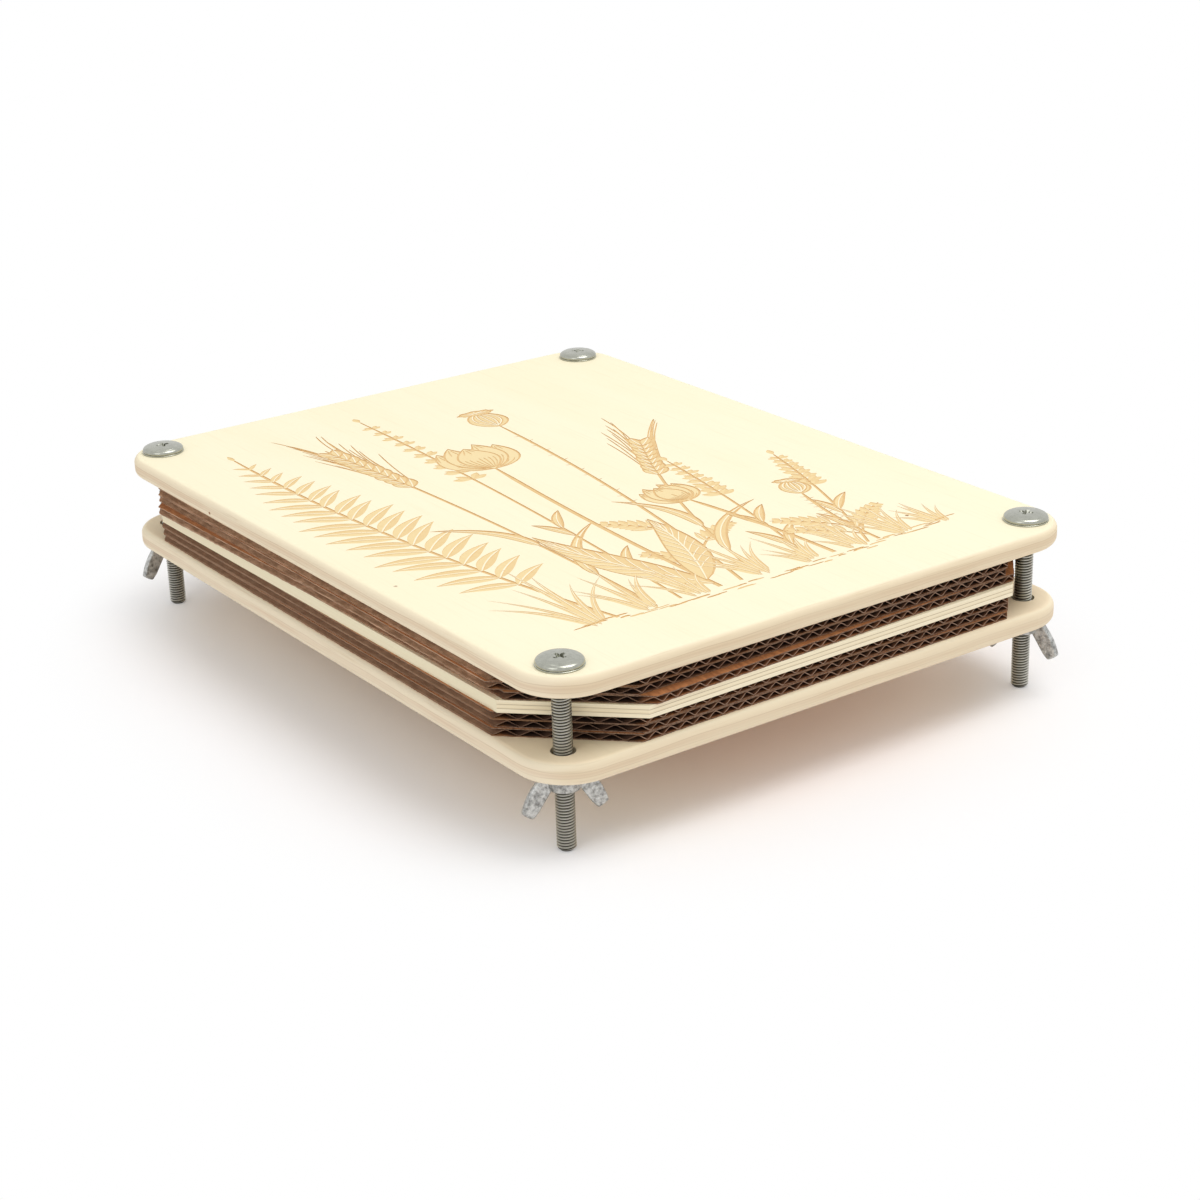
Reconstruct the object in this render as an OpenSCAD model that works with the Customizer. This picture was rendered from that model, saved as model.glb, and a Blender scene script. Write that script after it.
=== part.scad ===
// Flower press: two boards and a stack of leaves, squeezed by four bolts and wing nuts.
// The press lies on its four bolt ends, with the engraved board on top.
// Origin: on the surface that it stands on, below the middle of the boards.
// X runs along the short side of the boards, Y along the long side, Z is up.

/* [Boards] */
// Length of the boards' short side
board_w = 178; // [150:1:260]
// Length of the boards' long side
board_l = 235; // [200:1:360]
// Thickness of each board
board_t = 6; // [5:0.5:8]
// Radius of the boards' corners, seen from above
board_corner_r = 15; // [12:0.5:20]
// Radius of the rounded-over edge all around each board
board_edge_r = 2; // [1:0.25:2.25]
// Distance from each edge of a board to the middle of its bolt holes
hole_inset = 10.5; // [9:0.5:12]
// Width that a bolt hole has over its bolt
hole_clearance = 1.5; // [0.6:0.1:2]

/* [Leaves] */
// How far the leaves' edges stay inside the boards' edges
leaf_inset = 1.25; // [1:0.05:2]
// Gap between the bolts and the leaves' cut corners
leaf_bolt_gap = 1.4; // [1:0.1:6]
// The same gap at the front left corner, which is cut back further
leaf_front_gap = 3.5; // [1:0.1:6]
// Thickness of the plywood leaf in the middle of the stack
plate_t = 3.4; // [2:0.1:5]
// Play left between each leaf of the stack and the next
leaf_gap = 0.02; // [0.01:0.01:0.2]
// Thickness of one corrugated card
card_t = 2.25; // [1.9:0.05:3]
// Thickness of the smooth paper on each face of a card
liner_t = 0.3; // [0.2:0.05:0.4]
// Thickness of the waved paper inside a card
flute_paper_t = 0.3; // [0.2:0.05:0.4]
// Distance from one wave of the paper to the next
flute_pitch = 4.7; // [4:0.1:8]
// Width of the flat crest where a wave is glued to the smooth paper
flute_crest_w = 0.5; // [0.3:0.05:0.8]

/* [Bolts] */
// Diameter of the bolts over their thread
bolt_d = 5; // [4:0.1:5.5]
// Length of the bolts below their heads
bolt_l = 50; // [46:1:60]
// Distance from one turn of the thread to the next
thread_pitch = 0.8; // [0.7:0.05:1]
// Depth of the thread
thread_depth = 0.45; // [0.3:0.05:0.5]
// Length of the bevel at the end of each bolt
bolt_tip_bevel = 0.8; // [0.5:0.1:1.2]
// Diameter of the bolt heads
head_d = 12.6; // [11:0.1:14]
// Height of the bolt heads
head_h = 2.3; // [2:0.1:3.2]
// Diameter of the flat top of a head
head_top_d = 8.6; // [8:0.1:10]
// Height of the upright rim of a head
head_rim_h = 1.1; // [0.5:0.1:1.3]
// Length of the cross slot in a head, tip to tip
cross_l = 5.2; // [4:0.1:6.5]
// Width of each slot of the cross
cross_w = 1.2; // [0.9:0.1:1.5]
// Depth of the cross slot
cross_depth = 1.5; // [1.2:0.1:1.8]

/* [Wing nuts] */
// Gap between a nut's smooth bore and the bolt's thread
nut_fit = 0.05; // [0.03:0.01:0.1]
// Diameter of a nut's hub where it meets the board
hub_base_d = 10; // [9:0.1:12]
// Diameter of a nut's hub at its free end
hub_end_d = 8.4; // [7.8:0.1:10]
// Height of a nut's hub
hub_h = 4; // [3.5:0.1:5]
// Height of a whole nut, from the board to its wing tips
nut_h = 11.5; // [10:0.1:13]
// Width of a nut across its wing tips
nut_span = 24; // [22:0.1:26]
// Width of each wing
wing_w = 4.6; // [4:0.1:5]
// Thickness of each wing
wing_t = 2.2; // [1.8:0.1:2.6]
// Radius of the wings' corners
wing_corner_r = 1.2; // [0.6:0.1:1.6]
// Angle between a wing and the bolt
wing_splay = 33; // [28:1:38]

/* [Hidden] */
$fn = 64;
// How far each cut runs past the face that it goes through
overrun = 1;

// Heights: the bolt ends stand at zero and the heads sit on the top board
top_board_z = bolt_l - board_t;
// Number of corrugated cards on each side of the middle plate
cards_a_side = 3;
card_count = 2 * cards_a_side;
// the cards, the plate, and the play at each of their faces
stack_t = card_count * card_t + plate_t + (card_count + 2) * leaf_gap;
stack_z = top_board_z - stack_t;
bottom_board_z = stack_z - board_t;

// Bolt places, in the order front left, front right, back right, back left
bolt_x = board_w / 2 - hole_inset;
bolt_y = board_l / 2 - hole_inset;
bolt_places = [[-bolt_x, -bolt_y], [bolt_x, -bolt_y], [bolt_x, bolt_y], [-bolt_x, bolt_y]];
hole_d = bolt_d + hole_clearance;

// How the leaves lie in the stack, from the top card down: turn in degrees,
// then the shift along X and Y as a share of the leaf inset
leaf_turns = [0.1, -0.15, 1.5, 0.5, 0.15, 0.3, 0.05];
leaf_shift_shares = [[0.1, 0.8], [-0.2, 0.9], [0, -0.4], [0.1, -0.6], [-0.1, 0.4], [0.2, 0.5], [0, 0.3]];
// The middle plate's place in those lists
plate_place = cards_a_side;

// Angles of the bolts' cross slots and of the wing nuts, one for each bolt
cross_turns = [10, 27, 52, -6];
nut_turns = [-16, -71, 40, 5];

// Width and length of each leaf of the stack
leaf_w = board_w - 2 * leaf_inset;
leaf_l = board_l - 2 * leaf_inset;
// Length that a leaf's corner is cut back along both of its sides, to keep a gap to the bolt
function corner_cut(gap) = 2 * (hole_inset - leaf_inset) + sqrt(2) * (bolt_d / 2 + gap);

// One card's waved paper: the waves that fit the leaf, their height, and the run of one flank
flute_count = floor(leaf_w / flute_pitch);
flute_h = card_t - 2 * liner_t;
flute_run = flute_pitch / 2 - flute_crest_w;

// Thread rings, and half of the flat crest between one groove and the next
thread_rings = floor((bolt_l - bolt_tip_bevel) / thread_pitch);
thread_crest_share = 0.25;
half_crest = thread_pitch * thread_crest_share / 2;

CARDS = [for (i = [1:card_count]) str("card_", i)];
BOLTS = ["bolt_front_left", "bolt_front_right", "bolt_back_right", "bolt_back_left"];
NUTS = ["wing_nut_front_left", "wing_nut_front_right", "wing_nut_back_right", "wing_nut_back_left"];

// Outline of a board's edge seen along the edge: a bar with its long edges rounded over
module board_profile(width) {
    translate([-width / 2 + board_edge_r, 0])
        square([width - 2 * board_edge_r, board_t]);
    translate([-width / 2, board_edge_r])
        square([width, board_t - 2 * board_edge_r]);
    for (x = [-1, 1], z = [board_edge_r, board_t - board_edge_r])
        translate([x * (width / 2 - board_edge_r), z])
            circle(r = board_edge_r);
}

// A quarter of a round puck that carries the rounded-over edge round a corner
module board_corner() {
    rotate_extrude(angle = 90)
        intersection() {
            board_profile(2 * board_corner_r);
            square([board_corner_r, board_t]);
        }
}

// Plain board, with its underside at zero
module board_blank() {
    straight_w = board_w - 2 * board_corner_r;
    straight_l = board_l - 2 * board_corner_r;
    translate([0, straight_l / 2, 0])
        rotate([90, 0, 0])
            linear_extrude(straight_l)
                board_profile(board_w);
    for (side = [0, 180])
        rotate(side)
            intersection() {
                translate([-straight_w / 2, straight_l / 2, 0])
                    cube([straight_w, board_corner_r, board_t]);
                translate([-straight_w / 2, 0, 0])
                    rotate([90, 0, 90])
                        linear_extrude(straight_w)
                            board_profile(board_l);
            }
    for (corner = [[1, 1, 0], [-1, 1, 90], [-1, -1, 180], [1, -1, 270]])
        translate([corner.x * straight_w / 2, corner.y * straight_l / 2, 0])
            rotate(corner.z)
                board_corner();
}

// Board with its four bolt holes
module board() {
    difference() {
        board_blank();
        for (place = bolt_places)
            translate([place.x, place.y, -overrun])
                cylinder(d = hole_d, h = board_t + 2 * overrun);
    }
}

module top_board() {
    color("blanchedalmond")
        translate([0, 0, top_board_z])
            board();
}

module bottom_board() {
    color("blanchedalmond")
        translate([0, 0, bottom_board_z])
            board();
}

// Outline of a leaf: a rectangle whose corners are cut off to clear the bolts
module leaf_outline() {
    x = leaf_w / 2;
    y = leaf_l / 2;
    cut = corner_cut(leaf_bolt_gap);
    front = corner_cut(leaf_front_gap);
    polygon([
        [-x, -y + front], [-x + front, -y], [x - cut, -y], [x, -y + cut],
        [x, y - cut], [x - cut, y], [-x + cut, y], [-x, y - cut]
    ]);
}

// Underside of the leaf at a place in the stack, counted from the top down
function leaf_z(place) = top_board_z - (place + 1) * leaf_gap
    - (place < plate_place ? (place + 1) * card_t : place * card_t + plate_t);

// Lays a leaf in its place in the stack
module lay_leaf(place) {
    shift = leaf_inset * leaf_shift_shares[place];
    translate([shift.x, shift.y, leaf_z(place)])
        rotate(leaf_turns[place])
            children();
}

module middle_plate() {
    color("cornsilk")
        lay_leaf(plate_place)
            linear_extrude(plate_t)
                leaf_outline();
}

// Place in the stack of a card, whose numbers run from the top down and start at 1
function card_place(card) = card <= cards_a_side ? card - 1 : card;

// Smooth paper on the upper or the lower face of a card
module liner(card, upper) {
    color("saddlebrown")
        lay_leaf(card_place(card))
            translate([0, 0, upper ? card_t - liner_t : 0])
                linear_extrude(liner_t)
                    leaf_outline();
}

// One line along the waves, as points from left to right: low crest, then high crest
function wave_line(z_low, z_high) = [
    for (i = [0:flute_count - 1])
        let (x = (i - flute_count / 2) * flute_pitch)
            each [
                [x, z_low],
                [x + flute_crest_w, z_low],
                [x + flute_crest_w + flute_run, z_high],
                [x + 2 * flute_crest_w + flute_run, z_high]
            ]
];

function reversed(points) = [for (i = [len(points) - 1:-1:0]) points[i]];

// Waved paper between a card's two faces, with its waves running along Y
module fluting(card) {
    wave = concat(
        wave_line(0, flute_h - flute_paper_t),
        reversed(wave_line(flute_paper_t, flute_h))
    );
    color("peru")
        lay_leaf(card_place(card))
            translate([0, 0, liner_t])
                intersection() {
                    linear_extrude(flute_h)
                        leaf_outline();
                    translate([0, leaf_l / 2, 0])
                        rotate([90, 0, 0])
                            linear_extrude(leaf_l)
                                polygon(wave);
                }
}

// Half of a bolt's outline: the thread is drawn as rings, with the tip at zero
function bolt_outline() = concat(
    [[0, 0], [bolt_d / 2 - bolt_tip_bevel, 0], [bolt_d / 2, bolt_tip_bevel]],
    [
        for (i = [0:thread_rings - 1])
            let (z = bolt_tip_bevel + i * thread_pitch)
                each [
                    [bolt_d / 2, z + half_crest],
                    [bolt_d / 2 - thread_depth, z + thread_pitch / 2],
                    [bolt_d / 2, z + thread_pitch - half_crest]
                ]
    ],
    [
        [bolt_d / 2, bolt_l],
        [head_d / 2, bolt_l],
        [head_d / 2, bolt_l + head_rim_h],
        [head_top_d / 2, bolt_l + head_h],
        [0, bolt_l + head_h]
    ]
);

module bolt(number) {
    color("silver")
        translate(bolt_places[number])
            difference() {
                rotate_extrude()
                    polygon(bolt_outline());
                for (turn = [0, 90])
                    rotate(cross_turns[number] + turn)
                        translate([-cross_l / 2, -cross_w / 2, bolt_l + head_h - cross_depth])
                            cube([cross_l, cross_w, cross_depth + overrun]);
            }
}

// Outline of one wing, seen from its flat side: a bar with rounded free corners
module wing_outline() {
    // the bar ends at the nut's full height and at half its span
    tip_x = nut_span / 2 - wing_w * cos(wing_splay) / 2;
    tip_z = nut_h - wing_w * sin(wing_splay) / 2;
    // and starts in the middle of the hub's wall
    root_x = (bolt_d / 2 + hub_base_d / 2) / 2;
    length = (tip_x - root_x) / sin(wing_splay);
    translate([tip_x, tip_z])
        rotate(-wing_splay)
            translate([-wing_w / 2, -length]) {
                square([wing_w, length - wing_corner_r]);
                translate([wing_corner_r, 0])
                    square([wing_w - 2 * wing_corner_r, length]);
                for (x = [wing_corner_r, wing_w - wing_corner_r])
                    translate([x, length - wing_corner_r])
                        circle(r = wing_corner_r);
            }
}

// Wing nut, hanging under the bottom board with its wings pointing down
module wing_nut(number) {
    bore_r = bolt_d / 2 + nut_fit;
    color("lightgray")
        translate([bolt_places[number].x, bolt_places[number].y, bottom_board_z])
            rotate(nut_turns[number])
                mirror([0, 0, 1])
                    difference() {
                        union() {
                            cylinder(d1 = hub_base_d, d2 = hub_end_d, h = hub_h);
                            intersection() {
                                for (side = [0, 180])
                                    rotate(side)
                                        translate([0, wing_t / 2, 0])
                                            rotate([90, 0, 0])
                                                linear_extrude(wing_t)
                                                    wing_outline();
                                translate([-nut_span, -nut_span, 0])
                                    cube([2 * nut_span, 2 * nut_span, nut_h]);
                            }
                        }
                        translate([0, 0, -overrun])
                            cylinder(r = bore_r, h = nut_h + 2 * overrun);
                    }
}

top_board();
bottom_board();
middle_plate();
for (i = [1:card_count]) {
    liner(i, true);
    fluting(i);
    liner(i, false);
}
for (i = [0:len(bolt_places) - 1]) {
    bolt(i);
    wing_nut(i);
}
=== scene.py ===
import cmath
import math
import random

import bmesh
import bpy
import numpy as np
from mathutils import Matrix, Vector, noise
from mathutils.geometry import delaunay_2d_cdt


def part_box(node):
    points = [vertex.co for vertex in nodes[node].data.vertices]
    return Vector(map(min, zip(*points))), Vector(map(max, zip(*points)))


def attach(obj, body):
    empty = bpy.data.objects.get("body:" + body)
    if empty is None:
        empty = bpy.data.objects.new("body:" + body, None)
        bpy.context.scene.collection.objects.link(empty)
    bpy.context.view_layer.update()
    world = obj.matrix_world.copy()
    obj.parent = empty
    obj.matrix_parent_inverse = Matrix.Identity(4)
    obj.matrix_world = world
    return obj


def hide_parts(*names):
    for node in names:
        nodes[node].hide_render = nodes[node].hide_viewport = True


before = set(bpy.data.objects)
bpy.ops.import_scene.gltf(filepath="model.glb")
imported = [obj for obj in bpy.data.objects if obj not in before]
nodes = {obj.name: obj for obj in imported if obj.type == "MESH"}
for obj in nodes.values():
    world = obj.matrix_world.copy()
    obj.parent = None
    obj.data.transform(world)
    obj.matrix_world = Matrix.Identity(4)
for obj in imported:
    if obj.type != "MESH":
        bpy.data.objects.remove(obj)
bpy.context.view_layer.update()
mm = 0.001
corners = ["front_left", "front_right", "back_right", "back_left"]
cards = ["card_" + str(i + 1) for i in range(6)]
boltPlaces = [(-78.5, -107), (78.5, -107), (78.5, 107), (-78.5, 107)]  # millimetres
undersides = {"top": 44, "bottom": 20.94}    # of the two boards, in millimetres over the table


# camera

cameraSpec = {
    "place": (-0.3772, -0.549, 0.2803),
    "heading": 35.143,   # degrees round from +Y
    "tilt": 21.862,      # degrees down
    "roll": -1.785,
    "lens": 72.2,
    "near": 0.01, "far": 50,
}


def addObject(name, data):
    made = bpy.data.objects.new(name, data)
    bpy.context.scene.collection.objects.link(made)
    return made


def addCamera(spec):
    data = bpy.data.cameras.new("camera")
    data.lens = spec["lens"]
    data.clip_start = spec["near"]
    data.clip_end = spec["far"]
    made = addObject("camera", data)
    aim = Matrix.Rotation(math.radians(-spec["heading"]), 4, "Z")
    aim = aim @ Matrix.Rotation(math.radians(90 - spec["tilt"]), 4, "X")
    aim = aim @ Matrix.Rotation(math.radians(spec["roll"]), 4, "Z")
    made.matrix_world = Matrix.Translation(spec["place"]) @ aim
    bpy.context.scene.camera = made


addCamera(cameraSpec)
print("camera is in place")


# small helpers for modelling

def startClean():
    if bpy.context.object and bpy.context.object.mode != "OBJECT":
        bpy.ops.object.mode_set(mode="OBJECT")
    bpy.ops.object.select_all(action="DESELECT")


def take(obj):
    startClean()
    obj.select_set(True)
    bpy.context.view_layer.objects.active = obj
    return obj


def settle(obj):
    # the place goes into the mesh, and the object stays at the origin
    take(obj)
    bpy.ops.object.transform_apply(location=True, rotation=True, scale=True)
    return obj


def addBox(name, middle, size):
    startClean()
    bpy.ops.mesh.primitive_cube_add(size=1, location=[v * mm for v in middle])
    made = bpy.context.object
    made.name = name
    made.scale = [v * mm for v in size]
    return settle(made)


def addRound(name, middle, radius, depth, sides, endRadius=None):
    startClean()
    bpy.ops.mesh.primitive_cone_add(
        vertices=sides, radius1=radius * mm, radius2=(radius if endRadius is None else endRadius) * mm,
        depth=depth * mm, location=[v * mm for v in middle])
    made = bpy.context.object
    made.name = name
    return settle(made)


def addMesh(name, points, edges, faces):
    # an object from its points, in metres
    mesh = bpy.data.meshes.new(name)
    mesh.from_pydata(points, edges, faces)
    return addObject(name, mesh)


def outlineEdges(outline):
    return [(i, i + 1) for i in range(len(outline) - 1)]


def turned(name, outline, sides):
    # an outline of distances and heights, carried once round the Z axis
    made = addMesh(name, [(r * mm, 0, z * mm) for r, z in outline], outlineEdges(outline), [])
    edit(made, "VERT")
    pickAll()
    bpy.ops.mesh.spin(steps=sides, angle=2 * math.pi, center=(0, 0, 0), axis=(0, 0, 1))
    weld(0.001)
    faceOut()
    leaveEdit()
    return made


def edit(obj, kind="FACE"):
    take(obj)
    bpy.ops.object.mode_set(mode="EDIT")
    bpy.ops.mesh.select_mode(type=kind)
    bpy.ops.mesh.select_all(action="DESELECT")


def pick(obj, kind, test):
    # selects what passes the test, in edit mode
    bpy.ops.mesh.select_mode(type=kind)
    bpy.ops.mesh.select_all(action="DESELECT")
    mesh = bmesh.from_edit_mesh(obj.data)
    for part in {"VERT": mesh.verts, "EDGE": mesh.edges, "FACE": mesh.faces}[kind]:
        if test(part):
            part.select_set(True)
    mesh.select_flush_mode()
    bmesh.update_edit_mesh(obj.data)


def pickAll():
    bpy.ops.mesh.select_all(action="SELECT")


def weld(gap):
    pickAll()
    bpy.ops.mesh.remove_doubles(threshold=gap * mm)


def faceOut():
    pickAll()
    bpy.ops.mesh.normals_make_consistent(inside=False)


def pull(height):
    # draws the picked faces out along Z, in metres
    bpy.ops.mesh.extrude_region_move(TRANSFORM_OT_translate={"value": (0, 0, height)})


def leaveEdit():
    bpy.ops.object.mode_set(mode="OBJECT")


def finishWith(obj, kind, **settings):
    take(obj)
    modifier = obj.modifiers.new(kind.lower(), kind)
    for key, value in settings.items():
        setattr(modifier, key, value)
    bpy.ops.object.modifier_apply(modifier=modifier.name)
    return obj


def cutWith(obj, tool, operation="DIFFERENCE"):
    finishWith(obj, "BOOLEAN", operation=operation, object=tool, solver="EXACT")
    bpy.data.objects.remove(tool)
    return obj


def soften(obj, width, segments, degrees):
    # breaks the edges that are sharper than so many degrees
    finishWith(obj, "BEVEL", width=width * mm, segments=segments, limit_method="ANGLE",
               angle_limit=math.radians(degrees))


def smooth(obj, degrees):
    take(obj)
    bpy.ops.object.shade_smooth_by_angle(angle=math.radians(degrees))


def copyOf(obj, name, turn, place):
    # the same mesh as a piece of its own, turned about Z and then moved, in millimetres
    made = addObject(name, obj.data.copy())
    move = Matrix.Translation([v * mm for v in place]) @ Matrix.Rotation(math.radians(turn), 4, "Z")
    made.data.transform(move)
    return made


# the picture on the top board: a meadow of drawn plants, in millimetres

meadow = {
    "ground": -92,
    "line": 0.85,        # how dark a drawn line is burnt, from 0 to 1
    "fill": 0.42,
    "shade": 0.6,
    "stemWide": 1.15,
    "lineWide": 0.62,
    "fineWide": 0.4,
    "smallest": 0.004,   # area under which an outline is left out
    "seed": 11,
    # tufts of grass: where each stands, how far it spreads, its blades and their length
    "tufts": [(-56, 0.6, 7, 46), (-40, 0.5, 6, 36), (-24, 0.5, 6, 30), (-2, 0.6, 7, 34),
              (14, 0.6, 6, 26), (30, 0.5, 6, 24), (47, 0.55, 7, 30), (60, 0.6, 6, 20)],
}
drawn = []               # outlines in the order in which they are drawn, each with its darkness
pen = random.Random(meadow["seed"])


def area(points):
    ahead = points[1:] + points[:1]
    return sum(a.real * b.imag - b.real * a.imag for a, b in zip(points, ahead)) / 2


def fillIn(points, dark):
    size = area(points)
    if abs(size) > meadow["smallest"]:
        drawn.append((points if size > 0 else points[::-1], dark))


def curve(start, pull, end, steps=16):
    shares = [i / steps for i in range(steps + 1)]
    return [(1 - t) ** 2 * start + 2 * t * (1 - t) * pull + t * t * end for t in shares]


def sideways(path, i):
    # a step of 1 to the left of the path
    ahead = path[min(i + 1, len(path) - 1)] - path[max(i - 1, 0)]
    return 1j * ahead / abs(ahead)


def stroke(path, wide, dark=meadow["line"], thinStart=0.45, thinEnd=0.3):
    left, right = [], []
    last = len(path) - 1
    for i, spot in enumerate(path):
        side = sideways(path, i)
        half = wide / 2 * min(1, thinStart + 5 * i / last, thinEnd + 5 * (last - i) / last)
        left.append(spot + side * half)
        right.append(spot - side * half)
    fillIn(left + right[::-1], dark)


def along(path, share):
    spot = min(max(share, 0), 1) * (len(path) - 1)
    i = min(int(spot), len(path) - 2)
    step = path[i + 1] - path[i]
    return path[i] + step * (spot - i), cmath.phase(step)


def drawStem(root, top, bow=0.0, wide=meadow["stemWide"]):
    middle = (root + top) / 2 + bow * 1j * (top - root) / abs(top - root)
    path = curve(root, middle, top, 44)
    stroke(path, wide, 0.8, 1, 0.5)
    return path


def leafSides(base, aim, long, wide, bend, belly=0.85, steps=14):
    spine = curve(base, base + cmath.rect(long * 0.55, aim + bend), base + cmath.rect(long, aim), steps)
    upper, lower = [], []
    for i, spot in enumerate(spine):
        side = sideways(spine, i)
        half = wide / 2 * math.sin(math.pi * (i / steps) ** belly)
        upper.append(spot + side * half)
        lower.append(spot - side * half)
    return spine, upper, lower


def drawLeaf(base, aim, long, wide, bend=0.0, veins=0, outline=True, belly=0.85):
    spine, upper, lower = leafSides(base, aim, long, wide, bend, belly)
    fillIn(upper[:-1] + lower[:0:-1], meadow["fill"])
    fillIn(spine[:-1] + lower[:0:-1], meadow["shade"])
    if long > 7:
        stroke(spine[:-1], min(0.5, wide * 0.12), 0)
    for v in range(veins):
        share = 0.16 + 0.66 * v / max(1, veins - 1)
        for side, turn in ((upper, 1), (lower, -1)):
            start, way = along(spine, share)
            end = along(side, min(1, share + 0.16))[0]
            pull = start + cmath.rect(abs(end - start) * 0.5, way + turn * 0.35)
            stroke(curve(start, pull, end, 5), 0.34, 0)
    if outline:
        stroke(upper, meadow["lineWide"] * 0.8)
        stroke(lower, meadow["lineWide"])


def leafOn(path, share, turn, *rest):
    # a leaf that far up a stem
    spot, way = along(path, share)
    drawLeaf(spot, way + turn, *rest)


def drawPetal(base, aim, long, wide, bend=0.0, lines=5, tone=0.16):
    spine, upper, lower = leafSides(base, aim, long, wide, bend, 0.95)
    fillIn(upper[:-1] + lower[:0:-1], tone)
    for i in range(lines):
        side = (i + 0.5) / lines * 2 - 1
        edge = upper if side > 0 else lower
        path = [a + (b - a) * abs(side) * 0.86 for a, b in zip(spine, edge)]
        stroke(path[1:6 + pen.randrange(3)], meadow["fineWide"], 0.7, 1, 0.2)
        if i % 2:
            stroke(path[-4 - pen.randrange(2):-1], meadow["fineWide"], 0.7, 0.2, 0.6)
    stroke(upper, meadow["lineWide"])
    stroke(lower, meadow["lineWide"])


def drawFern(root, top, bow, pairs=19):
    path = drawStem(root, top, bow)
    for i in range(pairs):
        share = 0.2 + 0.78 * i / pairs
        spot, way = along(path, share)
        long = 17.5 * math.sin(math.pi * (0.3 + 0.68 * i / pairs)) ** 0.9 + 2
        for side in (1, -1):
            lean = side * math.radians(64 - 16 * i / pairs + pen.uniform(-4, 4))
            size = long * pen.uniform(0.93, 1.05)
            drawLeaf(spot, way + lean, size, long * 0.27, -side * 0.22, 0, False, 0.7)
    leafOn(path, 1, 0, 5, 1.7, 0, 0, False)


def drawLavender(root, top, bow, rows=10):
    path = drawStem(root, top, bow, 0.9)
    for i in range(rows):
        share = 0.62 + 0.37 * i / rows
        spot, way = along(path, share)
        size = 5.6 - 2.4 * i / rows
        for lean in (1.15, -1.15, 0.62, -0.62):
            turn = way + lean + pen.uniform(-0.1, 0.1)
            drawLeaf(spot, turn, size * pen.uniform(0.9, 1.1), size * 0.46, 0, 0, False, 1.15)
        stroke(curve(spot, spot + cmath.rect(1, way), spot + cmath.rect(2.2, way), 4), 0.8, 1, 0.8, 0.5)
    leafOn(path, 1, 0, 4.6, 2.2, 0, 0, False, 1.1)
    for share, side in ((0.1, 1), (0.13, -1), (0.3, 1), (0.34, -1)):
        leafOn(path, share, side * 0.42, 21 - 18 * share, 2.7, -side * 0.25)


def drawBarley(root, top, bow, pairs=10):
    path = drawStem(root, top, bow, 1.0)
    for i in range(pairs):
        share = 0.72 + 0.26 * i / pairs
        spot, way = along(path, share)
        for side in (1, -1):
            lean = side * pen.uniform(0.3, 0.42)
            long = pen.uniform(7.6, 8.6)
            tip = spot + cmath.rect(long, way + lean)
            beard = tip + cmath.rect(pen.uniform(24, 31) - i, way + side * pen.uniform(0.1, 0.26))
            stroke(curve(tip, (tip + beard) / 2 + side * 0.8, beard, 10), 0.42, 0.75, 1, 0.35)
            drawLeaf(spot, way + lean, long, 3.5, side * 0.1, 0, True, 1.0)
    for share, side, long in ((0.16, -1, 42), (0.33, 1, 34)):
        leafOn(path, share, side * 0.55, long, 3.4, -side * 0.5, 0, True, 0.6)


def drawTulip(root, top, bow, tall=22.0, leaves=True):
    path = drawStem(root, top, bow, 1.5)
    spot, way = along(path, 1)
    for side in (1, -1):
        drawPetal(spot, way + side * 0.42, tall * 0.93, tall * 0.42, side * 0.42, 6)
    for side in (1, -1):
        drawPetal(spot, way + side * 0.16, tall, tall * 0.4, side * 0.34, 5)
    drawPetal(spot, way, tall * 0.88, tall * 0.5, 0, 7, 0.24)
    if leaves:
        for share, side, long in ((0.02, 1, 62), (0.05, -1, 50)):
            leafOn(path, share, side * 0.3, long, 10.5, side * 0.18, 9, True, 0.75)


def drawSeedHead(root, top, bow, wide=11.0):
    path = drawStem(root, top, bow, 1.1)
    spot, way = along(path, 1)
    across, up = cmath.rect(1, way - math.pi / 2), cmath.rect(1, way)
    tall = wide * 1.25
    body = []
    for i in range(28):
        turn = 2 * math.pi * i / 28 - math.pi / 2
        height = (math.sin(turn) + 1) / 2
        swell = math.cos(turn) * (0.78 + 0.22 * math.sin(math.pi * height ** 0.8))
        body.append(spot + across * swell * wide / 2 + up * height * tall)
    fillIn(body, meadow["fill"])
    for i in range(5):
        share = (i - 2) / 2.6
        rib = curve(spot + up * 0.8, spot + across * share * wide * 0.82 + up * tall * 0.5,
                    spot + up * (tall - 0.8) + across * share * 1.5, 9)
        stroke(rib, 0.45, 0)
        stroke([p + across * 0.45 for p in rib], 0.36, 0.75)
    stroke(body + body[:1], meadow["lineWide"], meadow["line"], 1, 1)
    crown = spot + up * (tall + 0.4)
    lobes = []
    for i in range(32):
        turn = 2 * math.pi * i / 32
        swell = 1 + 0.1 * math.cos(8 * turn)
        lobes.append(crown + across * math.cos(turn) * wide * 0.48 * swell
                     + up * math.sin(turn) * wide * 0.17 * swell)
    fillIn(lobes, meadow["shade"])
    for i in range(8):
        turn = 2 * math.pi * i / 8
        end = crown + across * math.cos(turn) * wide * 0.4 + up * math.sin(turn) * wide * 0.13
        stroke([crown, (crown + end) / 2, end], 0.4, 0)
    stroke(lobes + lobes[:1], 0.5, meadow["line"], 1, 1)
    for i in range(14):                      # short hairs on the stem
        spot, way = along(path, 0.45 + 0.5 * i / 14)
        end = spot + cmath.rect(2.0, way + (1 if i % 2 else -1) * 1.2)
        stroke([spot, (spot + end) / 2, end], 0.32, 0.7)
    for share, side in ((0.08, 1), (0.16, -1), (0.26, 1)):
        spot, way = along(path, share)
        lobe = curve(spot, spot + cmath.rect(12, way + side * 0.5), spot + cmath.rect(24, way + side * 0.8))
        stroke(lobe, 0.8, 0.8)
        for i in range(6):
            for fork in (1, -1):
                leafOn(lobe, 0.3 + 0.7 * i / 6, fork * 0.7, 7.5 - 0.9 * i, 2.3, 0, 0, False)


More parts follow.
